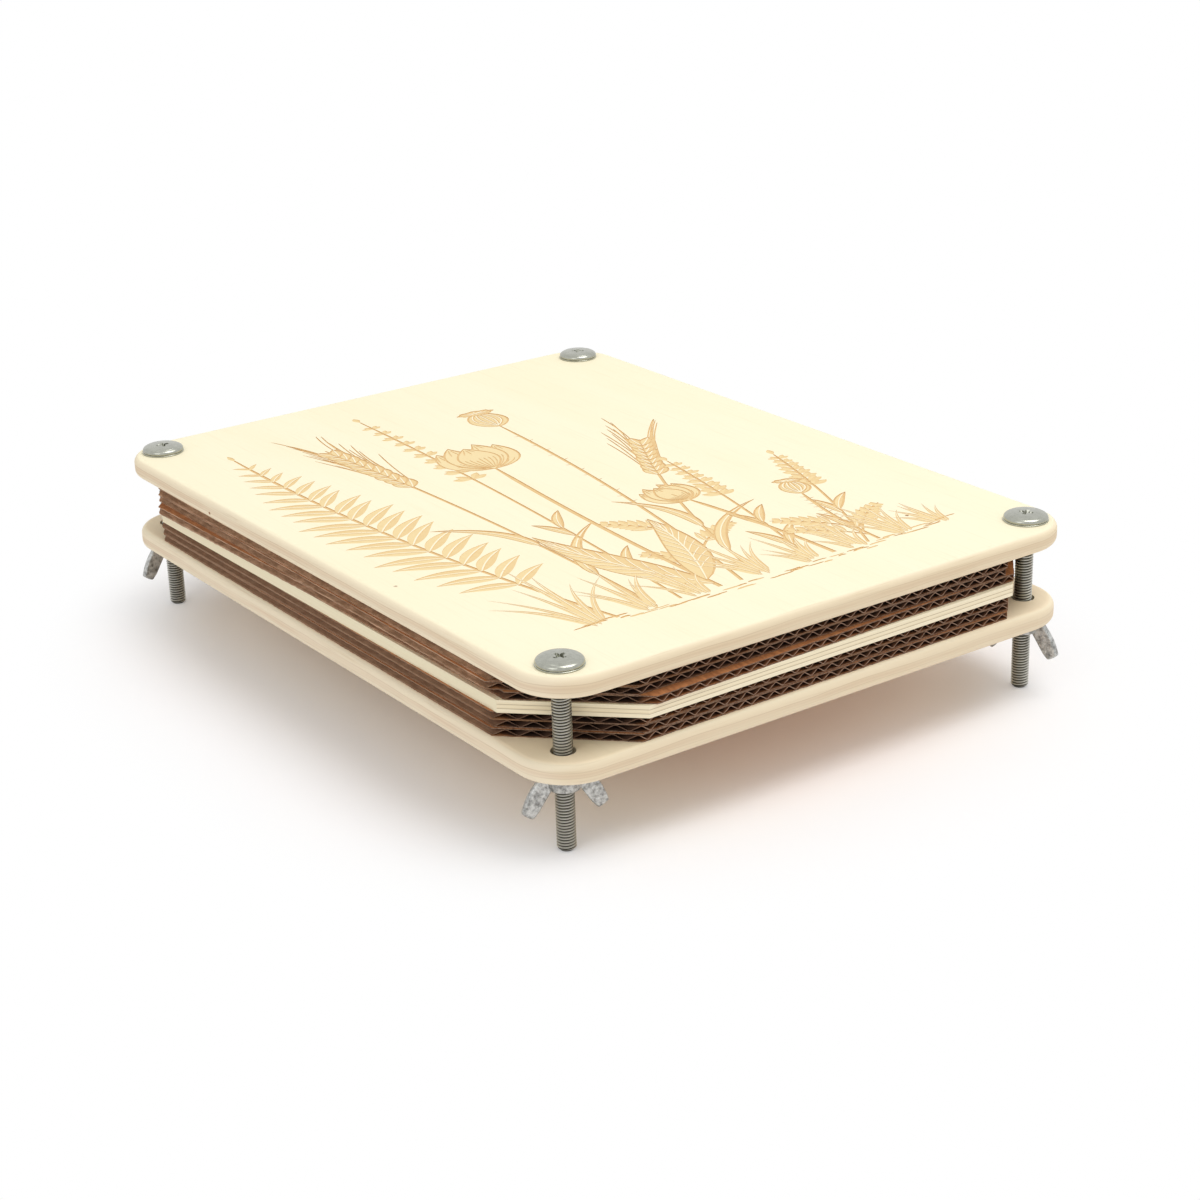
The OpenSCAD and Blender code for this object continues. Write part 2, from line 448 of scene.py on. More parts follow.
def drawGrass(x, spread, count, tall):
    for i in range(count):
        share = (i + 0.5) / count * 2 - 1
        root = complex(x + share * 2.5, meadow["ground"] + pen.uniform(-2, 1))
        aim = math.pi / 2 - share * spread + pen.uniform(-0.07, 0.07)
        long = tall * (1 - 0.45 * abs(share)) * pen.uniform(0.8, 1.1)
        drawLeaf(root, aim, long, pen.uniform(1.6, 2.4), -share * -0.35, 0, False, 0.45)


def drawGround():
    for i in range(46):
        x = -64 + 128 * i / 45 + pen.uniform(-1, 1)
        y = meadow["ground"] - 3.2 + pen.uniform(-1.6, 1.2) + 0.0011 * x * x
        long = pen.uniform(2.5, 7)
        middle = complex(x + long / 2, y + pen.uniform(-0.5, 0.7))
        crumb = curve(complex(x, y), middle, complex(x + long, y), 6)
        stroke(crumb, pen.uniform(0.4, 0.8), pen.uniform(0.6, 0.85), 0.3, 0.2)


def drawMeadow():
    low = meadow["ground"] * 1j
    drawFern(-50 + low, -66 + 84j, 11)
    drawBarley(-38 + low, -40 + 74j, -6)
    drawLavender(-30 + low, -17 + 92j, -5)
    drawSeedHead(-10 + low, 15 + 60j, -7, 12.5)
    drawBarley(-4 + low, 40 + 20j, 8, 9)
    drawTulip(-17 + low, -9 + 26j, 3, 25)
    drawLavender(14 + low, 34 - 2j, -3, 8)
    drawTulip(22 + low, 18 - 34j, -2, 17, False)
    drawLavender(34 + low, 62 - 18j, -4, 8)
    drawSeedHead(38 + low, 46 - 50j, 3, 9)
    for tuft in meadow["tufts"]:
        drawGrass(*tuft)
    drawGround()


drawMeadow()
print("the meadow has", len(drawn), "outlines")


# top board

boardSpec = {
    "wide": 178, "long": 235, "thick": 6, "cornerRadius": 15, "cornerSteps": 14,
    "rimRadius": 2, "rimSteps": 7, "holeWide": 6.5, "holeSides": 40, "drillOver": 4,
    # how dark a face is burnt at least, and how far it is pushed down for it; a line goes down twice
    "burns": [(0.1, 0.1), (0.65, 0.12)],
    "wallBurn": 0.9, "weld": 0.0003, "smooth": 30,
}


def rise(edge):
    return abs(edge.verts[0].co.z - edge.verts[1].co.z)


def makeBoard(name, underside, spec):
    top = underside + spec["thick"]
    board = addBox(name, (0, 0, underside + spec["thick"] / 2), (spec["wide"], spec["long"], spec["thick"]))
    edit(board, "EDGE")
    pick(board, "EDGE", lambda e: rise(e) > 1 * mm)
    bpy.ops.mesh.bevel(offset=spec["cornerRadius"] * mm, segments=spec["cornerSteps"], affect="EDGES")
    pick(board, "EDGE", lambda e: rise(e) < 0.01 * mm)
    bpy.ops.mesh.bevel(offset=spec["rimRadius"] * mm, segments=spec["rimSteps"], affect="EDGES",
                       clamp_overlap=False)
    leaveEdit()
    for x, y in boltPlaces:
        drill = addRound("drill", (x, y, underside + spec["thick"] / 2), spec["holeWide"] / 2,
                         spec["thick"] + spec["drillOver"], spec["holeSides"])
        cutWith(board, drill)
    return board, top


def openLoops(obj):
    # the loops of points round the holes of an open mesh, in millimetres
    mesh = bmesh.new()
    mesh.from_mesh(obj.data)
    mesh.verts.ensure_lookup_table()
    ends = {}
    for e in mesh.edges:
        if len(e.link_faces) == 1:
            a, b = e.verts
            ends.setdefault(a.index, []).append(b.index)
            ends.setdefault(b.index, []).append(a.index)
    loops = []
    while ends:
        start = spot = next(iter(ends))
        loop = []
        while spot in ends:
            loop.append(spot)
            ahead = [n for n in ends.pop(spot) if n in ends]
            spot = ahead[0] if ahead else start
        loops.append([complex(mesh.verts[i].co.x / mm, mesh.verts[i].co.y / mm) for i in loop])
    mesh.free()
    loops.sort(key=lambda loop: -abs(area(loop)))
    return [loop if area(loop) > 0 else loop[::-1] for loop in loops]


def within(centres, outline):
    # which of the centres the outline goes round
    ring = np.array(outline)
    found = np.zeros(len(centres), bool)
    near = np.flatnonzero((centres.real > ring.real.min()) & (centres.real < ring.real.max())
                          & (centres.imag > ring.imag.min()) & (centres.imag < ring.imag.max()))
    arms = ring[None, :] - centres[near][:, None]
    turns = np.angle(np.roll(arms, -1, axis=1) / arms).sum(axis=1)
    found[near] = abs(turns) > math.pi
    return found


def engrave(board, top, spec):
    # the flat top is opened, filled again with the drawing in its mesh, and the drawing is pushed down
    edit(board)
    pick(board, "FACE", lambda f: f.normal.z > 0.99 and abs(f.calc_center_median().z - top * mm) < 1e-6)
    bpy.ops.mesh.delete(type="FACE")
    leaveEdit()
    rims = openLoops(board)
    points, edges = [], []
    for outline in rims + [shape for shape, _ in drawn]:
        first, count = len(points), len(outline)
        edges += [(first + i, first + (i + 1) % count) for i in range(count)]
        points += [Vector((p.real, p.imag)) for p in outline]
    verts, _, made, _, _, _ = delaunay_2d_cdt(points, edges, [], 0, 1e-4)
    spots = np.array([complex(v.x, v.y) for v in verts])
    made = np.array(made)
    centres = spots[made].mean(axis=1)
    for hole in rims[1:]:
        keep = ~within(centres, hole)
        made, centres = made[keep], centres[keep]
    burns = np.zeros(len(made))
    for outline, dark in drawn:
        burns[within(centres, outline)] = dark
    face = addMesh("drawing", [(v.x * mm, v.y * mm, top * mm) for v in verts], [], made.tolist())
    face.data.attributes.new("burn", "FLOAT", "FACE").data.foreach_set("value", burns)
    edit(face, "VERT")
    pickAll()
    bpy.ops.mesh.delete_loose()
    for least, deep in spec["burns"]:
        layer = bmesh.from_edit_mesh(face.data).faces.layers.float["burn"]
        pick(face, "FACE", lambda f: f[layer] > least and f.normal.z > 0.9)
        pull(-deep * mm)
    mesh = bmesh.from_edit_mesh(face.data)
    layer = mesh.faces.layers.float["burn"]
    for f in mesh.faces:
        if abs(f.normal.z) < 0.5:
            f[layer] = spec["wallBurn"]
    bmesh.update_edit_mesh(face.data)
    leaveEdit()
    take(board)
    face.select_set(True)
    bpy.ops.object.join()
    edit(board, "VERT")
    weld(spec["weld"])
    leaveEdit()


topBoard, topZ = makeBoard("top_board_engraved", undersides["top"], boardSpec)
engrave(topBoard, topZ, boardSpec)
smooth(topBoard, boardSpec["smooth"])
finishWith(topBoard, "WEIGHTED_NORMAL", keep_sharp=True, weight=80)
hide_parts("top_board")
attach(topBoard, "top_board")
print("top board:", len(topBoard.data.polygons), "faces")


# the waved paper in each card

leafSpec = {
    # in degrees, from the top leaf down; the plate is the fourth
    "turns": [0.1, -0.15, 1.5, 0.5, 0.15, 0.3, 0.05],
    "shifts": [(0.1, 0.8), (-0.2, 0.9), (0, -0.4), (0.1, -0.6), (-0.1, 0.4), (0.2, 0.5), (0, 0.3)],
    # the front left corner is cut back further than the others
    "inset": 1.25, "frontCut": 26.99, "cut": 24.02, "wide": 175.5, "long": 232.5, "step": 0.7,
}
tearSpec = {"deep": 0.16, "broad": 0.9, "fine": 2.3, "fineShare": 0.5, "apart": 7.3}
waveSpec = {
    "count": 37, "steps": 12, "rows": 20, "paper": 0.22, "edge": 0.15, "slack": 0.02, "seed": 40,
    "sway": 0.35, "swayLong": 9, "swayShift": 0.2, "steady": 8,
    "round": 1.07, "sharp": 0.07, "crest": 1.14,     # two cosines, and how high they come together
    "tearSlope": 900, "cornerTear": 0.7, "smooth": 50,
}


def raggedness(x, y, card, tear=tearSpec):
    # how far the torn edge of the paper lies inside its outline, in millimetres
    broad = noise.noise(Vector((x * tear["broad"], y * tear["broad"], card * tear["apart"])))
    fine = noise.noise(Vector((x * tear["fine"], y * tear["fine"], card)))
    rough = broad + tear["fineShare"] * fine
    return tear["deep"] * (1 + rough)


def placeOf(card):
    # which leaf of the stack the card is, from the top down
    number = cards.index(card)
    return number + (1 if number > 2 else 0)


def makeLiner(card, side, leaf):
    low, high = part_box(card + "_" + side + "_liner")
    grain = cards.index(card) + (0.5 if side == "upper" else 0)
    half, far, cut, front = leaf["wide"] / 2, leaf["long"] / 2, leaf["cut"], leaf["frontCut"]
    ends = [(-half, -far + front), (-half + front, -far), (half - cut, -far), (half, -far + cut),
            (half, far - cut), (half - cut, far), (-half + cut, far), (-half, far - cut)]
    rim = []
    for start, end in zip(ends, ends[1:] + ends[:1]):
        start, end = complex(*start), complex(*end)
        steps = int(abs(end - start) / leaf["step"])
        inward = sideways([start, end], 0)
        for i in range(steps):
            spot = start + (end - start) * i / steps
            rim.append(spot + inward * raggedness(spot.real, spot.imag, grain))
    sheet = addMesh(card + "_" + side + "_paper", [(p.real * mm, p.imag * mm, low.z) for p in rim], [],
                    [range(len(rim))])
    edit(sheet)
    pickAll()
    pull(high.z - low.z)
    faceOut()
    leaveEdit()
    layIn(sheet, placeOf(card), 0, leaf)
    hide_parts(card + "_" + side + "_liner")
    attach(sheet, card)
    return sheet


def layIn(sheet, place, height, leaf):
    # turns and shifts a leaf as it lies in the stack
    shift = [leaf["inset"] * s for s in leaf["shifts"][place]]
    sheet.data.transform(Matrix.Translation((shift[0] * mm, shift[1] * mm, height))
                         @ Matrix.Rotation(math.radians(leaf["turns"][place]), 4, "Z"))


def makeWaves(card, spec, leaf):
    low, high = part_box(card + "_fluting")
    place = placeOf(card)
    chance = random.Random(spec["seed"] + place)
    tall = (high.z - low.z) / mm - 2 * spec["slack"] - spec["paper"]
    middle = (high.z + low.z) / 2 / mm
    columns = spec["count"] * spec["steps"]
    startClean()
    bpy.ops.mesh.primitive_grid_add(x_subdivisions=columns, y_subdivisions=spec["rows"], size=1)
    sheet = bpy.context.object
    sheet.name = card + "_waves"
    drift = [chance.uniform(-1, 1) for _ in range(spec["count"] + 2)]
    wide = leaf["wide"] - 2 * spec["edge"]
    for v in sheet.data.vertices:
        across = (v.co.x + 0.5) * spec["count"]
        wave = min(int(across), spec["count"])
        part = across - wave
        sway = drift[wave] + (drift[wave + 1] - drift[wave]) * part * part * (3 - 2 * part)
        bend = math.sin(v.co.y * spec["swayLong"] + place + spec["swayShift"] * wave)
        calm = min(1, spec["steady"] * (0.5 - abs(v.co.x)))      # no sway along the long sides
        turn = 2 * math.pi * across + spec["sway"] * sway * bend * calm
        height = -(spec["round"] * math.cos(turn) + spec["sharp"] * math.cos(3 * turn))
        v.co.x *= wide * mm
        v.co.z = height * tall / 2 / spec["crest"] * mm
        v.co.y *= leaf["long"] * mm
    finishWith(sheet, "SOLIDIFY", thickness=spec["paper"] * mm, offset=0)
    half, far = leaf["wide"] / 2, leaf["long"] / 2
    edit(sheet)
    for sx in (1, -1):
        for sy in (1, -1):
            pickAll()
            cut = leaf["frontCut"] if (sx, sy) == (-1, -1) else leaf["cut"]
            bpy.ops.mesh.bisect(plane_co=(sx * half * mm, sy * (far - cut) * mm, 0),
                                plane_no=(sx, sy, 0), use_fill=True, clear_outer=True)
    leaveEdit()
    for v in sheet.data.vertices:            # the cut ends are torn like the sheets round them
        x, y = v.co.x / mm, v.co.y / mm
        tear = raggedness(x, y + v.co.z * spec["tearSlope"], place) * mm
        if far - abs(y) < 0.01:
            v.co.y -= math.copysign(tear, y)
        elif abs(x) + abs(y) > half + far - leaf["frontCut"] - 0.01:
            tear *= spec["cornerTear"]
            v.co.x -= math.copysign(tear, x)
            v.co.y -= math.copysign(tear, y)
    layIn(sheet, place, middle * mm, leaf)
    smooth(sheet, spec["smooth"])
    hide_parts(card + "_fluting")
    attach(sheet, card)
    return sheet


waveSheets = [makeWaves(card, waveSpec, leafSpec) for card in cards]
upperSheets = [makeLiner(card, "upper", leafSpec) for card in cards]
lowerSheets = [makeLiner(card, "lower", leafSpec) for card in cards]
print("cards are laid")


# bolts

boltSpec = {
    "wide": 5, "long": 50, "tip": 0.8, "pitch": 0.8, "threadDeep": 0.45, "threadSteps": 32, "weld": 0.0003,
    "fillet": 0.06, "flanks": (0, 0.12, 0.45, 0.5, 0.55, 0.88, 1),      # where a thread's outline bends
    "under": 0.3125, "over": 0.4125,         # the thread is made this much longer at its ends
    "spare": 0.1, "blankSides": 48, "blankTurn": 2, "sunk": 0.2,
    # half of the head's outline, as distance from the middle and height over the board
    "head": [(0, 0), (6.2, 0), (6.3, 0.06), (6.3, 0.34), (6.22, 0.42), (6.05, 0.46), (6, 0.49),
             (6, 0.55), (6.05, 0.58), (6.16, 0.64), (6.2, 0.74), (6.18, 1.0), (6.1, 1.24), (5.95, 1.46),
             (5.74, 1.64), (5.5, 1.76), (5.28, 1.83), (5.2, 1.93), (5.05, 1.98), (4.2, 2.1), (3, 2.22),
             (1.6, 2.29), (0, 2.3)],
    "headTall": 2.3, "headSides": 96, "edge": 0.05, "edgeAngle": 62,
    "crossLong": 5.2, "crossWide": 1.2, "crossDeep": 1.5, "crossOver": 1, "crossTaper": (0.42, 0.72, 1),
    "pitLow": 0.5, "pitHigh": 1.15, "pitOver": 0.8, "pitSides": 16,
    "smooth": 32, "turns": [10, 27, 52, -6],
}


def makeThread(spec):
    # one turn of the outline, carried up the bolt as a screw
    outer, pitch = spec["wide"] / 2, spec["pitch"]
    root = outer - spec["threadDeep"]
    reach = [outer, outer, root + spec["fillet"], root, root + spec["fillet"], outer, outer]
    outline = [(r * mm, 0, (pitch * share - 2 * pitch) * mm) for r, share in zip(reach, spec["flanks"])]
    thread = addMesh("thread", outline, outlineEdges(outline), [])
    finishWith(thread, "SCREW", screw_offset=pitch * mm, iterations=int(spec["long"] / pitch) + 4,
               steps=spec["threadSteps"], render_steps=spec["threadSteps"], axis="Z",
               use_merge_vertices=True, merge_threshold=spec["weld"] * mm)
    edit(thread, "VERT")
    weld(spec["weld"])
    for height, way in ((-spec["under"], -1), (spec["long"] + spec["over"], 1)):
        pickAll()
        bpy.ops.mesh.bisect(plane_co=(0, 0, height * mm), plane_no=(0, 0, way), use_fill=True,
                            clear_outer=True, threshold=0.0001 * mm)
    faceOut()
    leaveEdit()
    return thread


def makeBolt(spec):
    thread = makeThread(spec)
    taper = spec["tip"] + spec["spare"]      # the blank goes a little wider than the thread
    blank = addRound("blank", (0, 0, taper / 2), spec["wide"] / 2 - spec["tip"], taper, spec["blankSides"],
                     spec["wide"] / 2 + spec["spare"])
    # its edges stay off the thread's
    blank.data.transform(Matrix.Rotation(math.radians(spec["blankTurn"]), 4, "Z"))
    edit(blank)
    pick(blank, "FACE", lambda f: f.normal.z > 0.99)
    pull((spec["long"] - taper + spec["sunk"]) * mm)
    leaveEdit()
    cutWith(thread, blank, "INTERSECT")
    head = turned("head", [(r, z + spec["long"]) for r, z in spec["head"]], spec["headSides"])
    top = spec["long"] + spec["headTall"]
    for turn in (0, 90):
        arm = addBox("arm", (0, 0, top - spec["crossDeep"] / 2 + spec["crossOver"] / 2),
                     (spec["crossLong"], spec["crossWide"], spec["crossDeep"] + spec["crossOver"]))
        edit(arm)
        pick(arm, "FACE", lambda f: f.normal.z < -0.99)
        bpy.ops.transform.resize(value=spec["crossTaper"])
        leaveEdit()
        arm.data.transform(Matrix.Rotation(math.radians(turn), 4, "Z"))
        cutWith(head, arm)
    pit = addRound("pit", (0, 0, top - spec["crossDeep"] / 2 + spec["pitOver"] / 2), spec["pitLow"],
                   spec["crossDeep"] + spec["pitOver"], spec["pitSides"], spec["pitHigh"])
    cutWith(head, pit)
    soften(head, spec["edge"], 1, spec["edgeAngle"])
    cutWith(thread, head, "UNION")
    thread.name = "bolt_shape"
    smooth(thread, spec["smooth"])
    return thread


boltShape = makeBolt(boltSpec)
bolts = []
for name, (x, y), turn in zip(corners, boltPlaces, boltSpec["turns"]):
    bolt = copyOf(boltShape, "bolt_" + name + "_threaded", turn, (x, y, 0))
    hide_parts("bolt_" + name)
    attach(bolt, "top_board")
    bolts.append(bolt)
bpy.data.objects.remove(boltShape)
print("bolts:", len(bolts[0].data.polygons), "faces each")


# wing nuts

nutSpec = {
    "seat": undersides["bottom"], "hubWide": 10, "hubEnd": 8.4, "hubTall": 4, "hubSides": 64,
    "tall": 11.5, "span": 24, "bore": 5.1, "boreSides": 48,
    "wingWide": 4.6, "wingThick": 2.2, "splay": 33, "rootX": 3.8,
    "slim": 0.5, "thin": 0.3, "rootSwell": (1.06, 0.9, 1), "bow": 0.55,
    # how far a wing's free end is rounded, from where and over how much of its length
    "outerEnd": (0.5, 0.72, 0.28), "innerEnd": (0.5, 0.8, 0.2), "endRound": 0.35,
    "wingEdge": (0.5, 3, 50), "hubEdge": (0.3, 3, 30),       # width, segments, degrees
    "voxel": 0.16, "smoothings": 5, "easing": 0.5, "smooth": 40,
    "lidWide": 60, "lidTall": 20, "clear": 0.01,
    "turns": [-16, -71, 40, 5],
}


def makeWing(spec):
    # one wing, modelled upright and then leant over
    splay = math.radians(spec["splay"])
    tipX = spec["span"] / 2 - spec["wingWide"] * math.cos(splay) / 2
    tipZ = spec["tall"] - spec["wingWide"] * math.sin(splay) / 2
    long = (tipX - spec["rootX"]) / math.sin(splay)
    wing = addBox("wing", (0, 0, -long / 2),
                  (spec["wingWide"] - spec["slim"], spec["wingThick"] - spec["thin"], long))
    edit(wing)
    pickAll()
    bpy.ops.mesh.subdivide(number_cuts=4)
    pick(wing, "VERT", lambda v: v.co.z < -0.9 * long * mm)
    bpy.ops.transform.resize(value=spec["rootSwell"])
    leaveEdit()
    outer, outerFrom, outerLong = spec["outerEnd"]
    inner, innerFrom, innerLong = spec["innerEnd"]
    for v in wing.data.vertices:         # the outer side is bowed, and the free end rounded
        down = -v.co.z / mm / long
        if v.co.x > 0.4 * spec["wingWide"] * mm:
            bow = spec["bow"] * math.sin(math.pi * min(1, down)) * mm
            v.co.x += bow - outer * max(0, down - outerFrom) / outerLong * mm
        if v.co.x < -0.4 * spec["wingWide"] * mm:
            v.co.x += inner * max(0, down - innerFrom) / innerLong * mm
        corner = (abs(v.co.x) / (spec["wingWide"] / 2 * mm)) ** 2
        v.co.z += spec["endRound"] * corner * mm * max(0, down - 0.5) * 2
    soften(wing, *spec["wingEdge"])
    root = Vector((tipX - long * math.sin(splay), 0, -(tipZ - long * math.cos(splay)))) * mm
    wing.data.transform(Matrix.Translation(root) @ Matrix.Rotation(-splay, 4, "Y"))
    return wing


def makeNut(spec):
    hub = addRound("hub", (0, 0, -spec["hubTall"] / 2), spec["hubEnd"] / 2, spec["hubTall"],
                   spec["hubSides"], spec["hubWide"] / 2)
    soften(hub, *spec["hubEdge"])
    wing = makeWing(spec)
    other = copyOf(wing, "otherWing", 180, (0, 0, 0))
    cutWith(hub, wing, "UNION")
    cutWith(hub, other, "UNION")
    finishWith(hub, "REMESH", mode="VOXEL", voxel_size=spec["voxel"] * mm)
    finishWith(hub, "SMOOTH", iterations=spec["smoothings"], factor=spec["easing"])
    # flat where it meets the board
    lid = addBox("lid", (0, 0, -spec["lidTall"] / 2 - spec["clear"]),
                 (spec["lidWide"], spec["lidWide"], spec["lidTall"]))
    cutWith(hub, lid, "INTERSECT")
    bore = addRound("bore", (0, 0, -spec["lidTall"] / 4), spec["bore"] / 2, spec["lidTall"],
                    spec["boreSides"])
    cutWith(hub, bore)
    hub.name = "nut_shape"
    smooth(hub, spec["smooth"])
    return hub


nutShape = makeNut(nutSpec)
nuts = []
for name, (x, y), turn in zip(corners, boltPlaces, nutSpec["turns"]):
    nut = copyOf(nutShape, "wing_nut_" + name + "_cast", turn, (x, y, nutSpec["seat"]))
    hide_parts("wing_nut_" + name)
    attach(nut, "wing_nut_" + name)
    nuts.append(nut)
bpy.data.objects.remove(nutShape)
print("wing nuts:", len(nuts[0].data.polygons), "faces each")


# materials

def paint(colour):
    # three numbers are a colour as read off a screen, and are made linear; anything else stays
    if isinstance(colour, Wire) or len(colour) > 3:
        return colour
    parts = [v / 255 for v in colour]
    return [v / 12.92 if v <= 0.04045 else ((v + 0.055) / 1.055) ** 2.4 for v in parts] + [1]


class Wire:
    # a node's output, which can be summed like a number
    def __init__(self, tree, out=None):
        self.tree = tree
        self.out = out

    def node(self, kind, settings=None, inputs=None, out=0):
        made = self.tree.nodes.new("ShaderNode" + kind)
        for key, value in (settings or {}).items():
            setattr(made, key, value)
        for key, value in (inputs or {}).items():
            socket = made.inputs[key]
            if isinstance(value, Wire):
                self.tree.links.new(value.out, socket)
            else:
                socket.default_value = value
        return Wire(self.tree, made.outputs[out] if len(made.outputs) else None)

    def math(self, operation, *values):
        return self.node("Math", {"operation": operation}, dict(enumerate(values)))

    def __abs__(self):
        return self.math("ABSOLUTE", self)

    def __add__(self, other):
        return self.math("ADD", self, other)

    __radd__ = __add__

    def __sub__(self, other):
        return self.math("SUBTRACT", self, other)

    def __rsub__(self, other):
        return self.math("SUBTRACT", other, self)

    def __mul__(self, other):
        return self.math("MULTIPLY", self, other)

    __rmul__ = __mul__

    def __truediv__(self, other):
        return self.math("DIVIDE", self, other)

    def between(self, low, high):
        # 0 below low, 1 above high, smooth between them
        return self.node("MapRange", {"interpolation_type": "SMOOTHSTEP"},
                         {"Value": self, "From Min": low, "From Max": high})

    def mix(self, first, second):
        # first where this is 0, second where it is 1
        return self.node("Mix", {"data_type": "RGBA"}, {0: self, 6: paint(first), 7: paint(second)}, 2)

    def ramp(self, stops):
        made = self.node("ValToRGB", None, {"Fac": self})
        colours = made.out.node.color_ramp.elements
        while len(colours) < len(stops):
            colours.new(0.5)
        for stop, (spot, colour) in zip(colours, stops):
            stop.position = spot
            stop.color = paint(colour)
        return made

    def facing(self, name):
        # 1 on faces square to that axis, 0 on faces along it
        return abs(self.node("TexCoord", out="Normal").axis(name))

    def axis(self, name):
        return self.node("SeparateXYZ", None, {"Vector": self}, name)

    def stretched(self, x, y, z):
        return self.node("Mapping", None, {"Vector": self, "Scale": (x, y, z)})

    def noise(self, scale=1.0, detail=3.0, rough=0.55):
        return self.node("TexNoise", None,
                         {"Vector": self, "Scale": scale, "Detail": detail, "Roughness": rough})

    def streaked(self, base, streaks):
        # a colour laid over the base in streaks: their stretch, detail and roughness, from
        # where to where they show, and how strongly
        colour, stretch, detail, rough, low, high, share = streaks
        shown = self.stretched(*stretch).noise(1, detail, rough).between(low, high)
        return (shown * share).mix(base, colour)


def clearTree(block):
    # for a material or the world
    block.use_nodes = True
    block.node_tree.nodes.clear()
    return Wire(block.node_tree)


def newMaterial(name, colour, roughness, metallic, relief, strength, depth, **fixed):
    material = bpy.data.materials.new(name)
    start = clearTree(material)
    spot = start.node("TexCoord", out="Object")
    bump = start.node("Bump", None, {"Height": relief(spot), "Strength": strength, "Distance": depth})
    inputs = {"Base Color": colour(spot), "Metallic": metallic, "Normal": bump,
              "Roughness": roughness(spot) if callable(roughness) else roughness}
    inputs.update({key.replace("_", " "): value for key, value in fixed.items()})
    shader = start.node("BsdfPrincipled", None, inputs)
    start.node("OutputMaterial", None, {"Surface": shader})
    return material


def wear(obj, material):
    obj.data.materials.clear()
    obj.data.materials.append(material)


plyLook = {
    # painted shade: the bottom board's face is given a warmer, darker colour than the top board's, for the
    # warm shade it lies in
    "face": (254, 247, 219), "inner": (250, 233, 203),       # of the top and the bottom board
    # the second colour and the share after it on the next line are painted shade for the board edges facing
    # Y
    "knot": (150, 98, 62), "paintedEndShade": (222, 200, 162), "paintedEndShadeShare": 0.3, "bandSway": 0.3,
    "pale": ((242, 229, 202), (18, 18, 260), 2, 0.55, 0.42, 0.66, 0.6),
    "veins": ((206, 180, 142), (34, 34, 1500), 3, 0.6, 0.52, 0.76, 0.36),
    "clouds": ((252, 243, 211), (44, 8, 44), 2, 0.55, 0.35, 0.7, 0.5),
    "grain": ((236, 218, 184), (1300, 40, 900), 4, 0.6, 0.5, 0.85, 0.28),
    "pores": ((236, 218, 184), (3600, 300, 1500), 2, 0.5, 0.68, 0.78, 0.3),
    # the layers seen on the edge, from the underside up
    "bands": [(0, (242, 226, 198)), (0.22, (245, 231, 204)), (0.335, (241, 226, 197)),
              (0.36, (219, 198, 170)), (0.385, (237, 219, 191)), (0.5, (228, 207, 178)),
              (0.6, (238, 220, 191)), (0.63, (217, 196, 168)), (0.66, (243, 228, 200)),
              (0.93, (248, 236, 208)), (1, (252, 243, 214))],
    "burns": [(0, (246, 228, 183)), (0.38, (243, 221, 171)), (0.72, (235, 205, 152)),
              (1, (225, 189, 136))],
    # middle and size of the small knots, in millimetres
    "knots": [((-89, 56.4, 46.1), 0.6), ((55.9, -83.5, 50), 0.7), ((-82.4, -37.3, 49.6), 0.8),
              ((89, 20, 46), 1.1), ((12, 117.5, 24.5), 0.9)],
}


def plyColour(underside, thick, burnt=False):
    def colour(spot):
        flat = spot.facing("Z").between(0.8, 0.98)
        sway = spot.stretched(26, 26, 160).noise(1, 2) - 0.5
        level = (spot.axis("Z") - underside * mm) / (thick * mm) + sway * plyLook["bandSway"]
        edge = spot.streaked(level.ramp(plyLook["bands"]), plyLook["pale"])
        edge = spot.streaked(edge, plyLook["veins"])
        # painted shade: the board edges that face Y are mixed a little towards a darker colour
        edge = (spot.facing("Y").between(0.5, 0.9) * plyLook["paintedEndShadeShare"]).mix(edge, plyLook["paintedEndShade"])
        # the bottom board takes the warmer, darker face colour, which is painted shade
        face = spot.streaked(plyLook["face" if burnt else "inner"], plyLook["clouds"])
        face = spot.streaked(face, plyLook["grain"])
        wood = spot.streaked(flat.mix(edge, face), plyLook["pores"])
        for middle, size in plyLook["knots"]:
            place = [v * mm for v in middle]
            away = spot.node("VectorMath", {"operation": "DISTANCE"}, {0: spot, 1: place}, "Value")
            away = away + (spot.noise(900, 2) - 0.5) * 0.0008
            wood = (1 - away.between(size * 0.3 * mm, size * mm)).mix(wood, plyLook["knot"])
        if not burnt:
            return wood
        burn = spot.node("Attribute", {"attribute_name": "burn"}, None, "Fac")
        patchy = (spot.noise(420, 3, 0.6) - 0.5) * 0.5
        patchy = patchy + (spot.stretched(2600, 300, 900).noise(1, 2) - 0.5) * 0.35
        scorch = (burn + patchy * burn).ramp(plyLook["burns"])
        return (burn * 7).between(0, 1).mix(wood, scorch)

    return colour


def plyRelief(spot):
    pores = spot.stretched(3600, 260, 1500).noise(1, 2)
    return spot.stretched(1400, 45, 900).noise(1, 4, 0.6) + pores * 0.5


def plyRoughness(spot):
    return 0.6 + spot.stretched(700, 40, 700).noise(1, 2) * 0.16


topColour = plyColour(undersides["top"], boardSpec["thick"], True)
bottomColour = plyColour(undersides["bottom"], boardSpec["thick"])
topWood = newMaterial("topBoardWood", topColour, plyRoughness, 0, plyRelief, 0.25, 0.00006,
                      Specular_IOR_Level=0.08)
bottomWood = newMaterial("bottomBoardWood", bottomColour, plyRoughness, 0, plyRelief, 0.25, 0.00006)
wear(topBoard, topWood)
wear(nodes["bottom_board"], bottomWood)


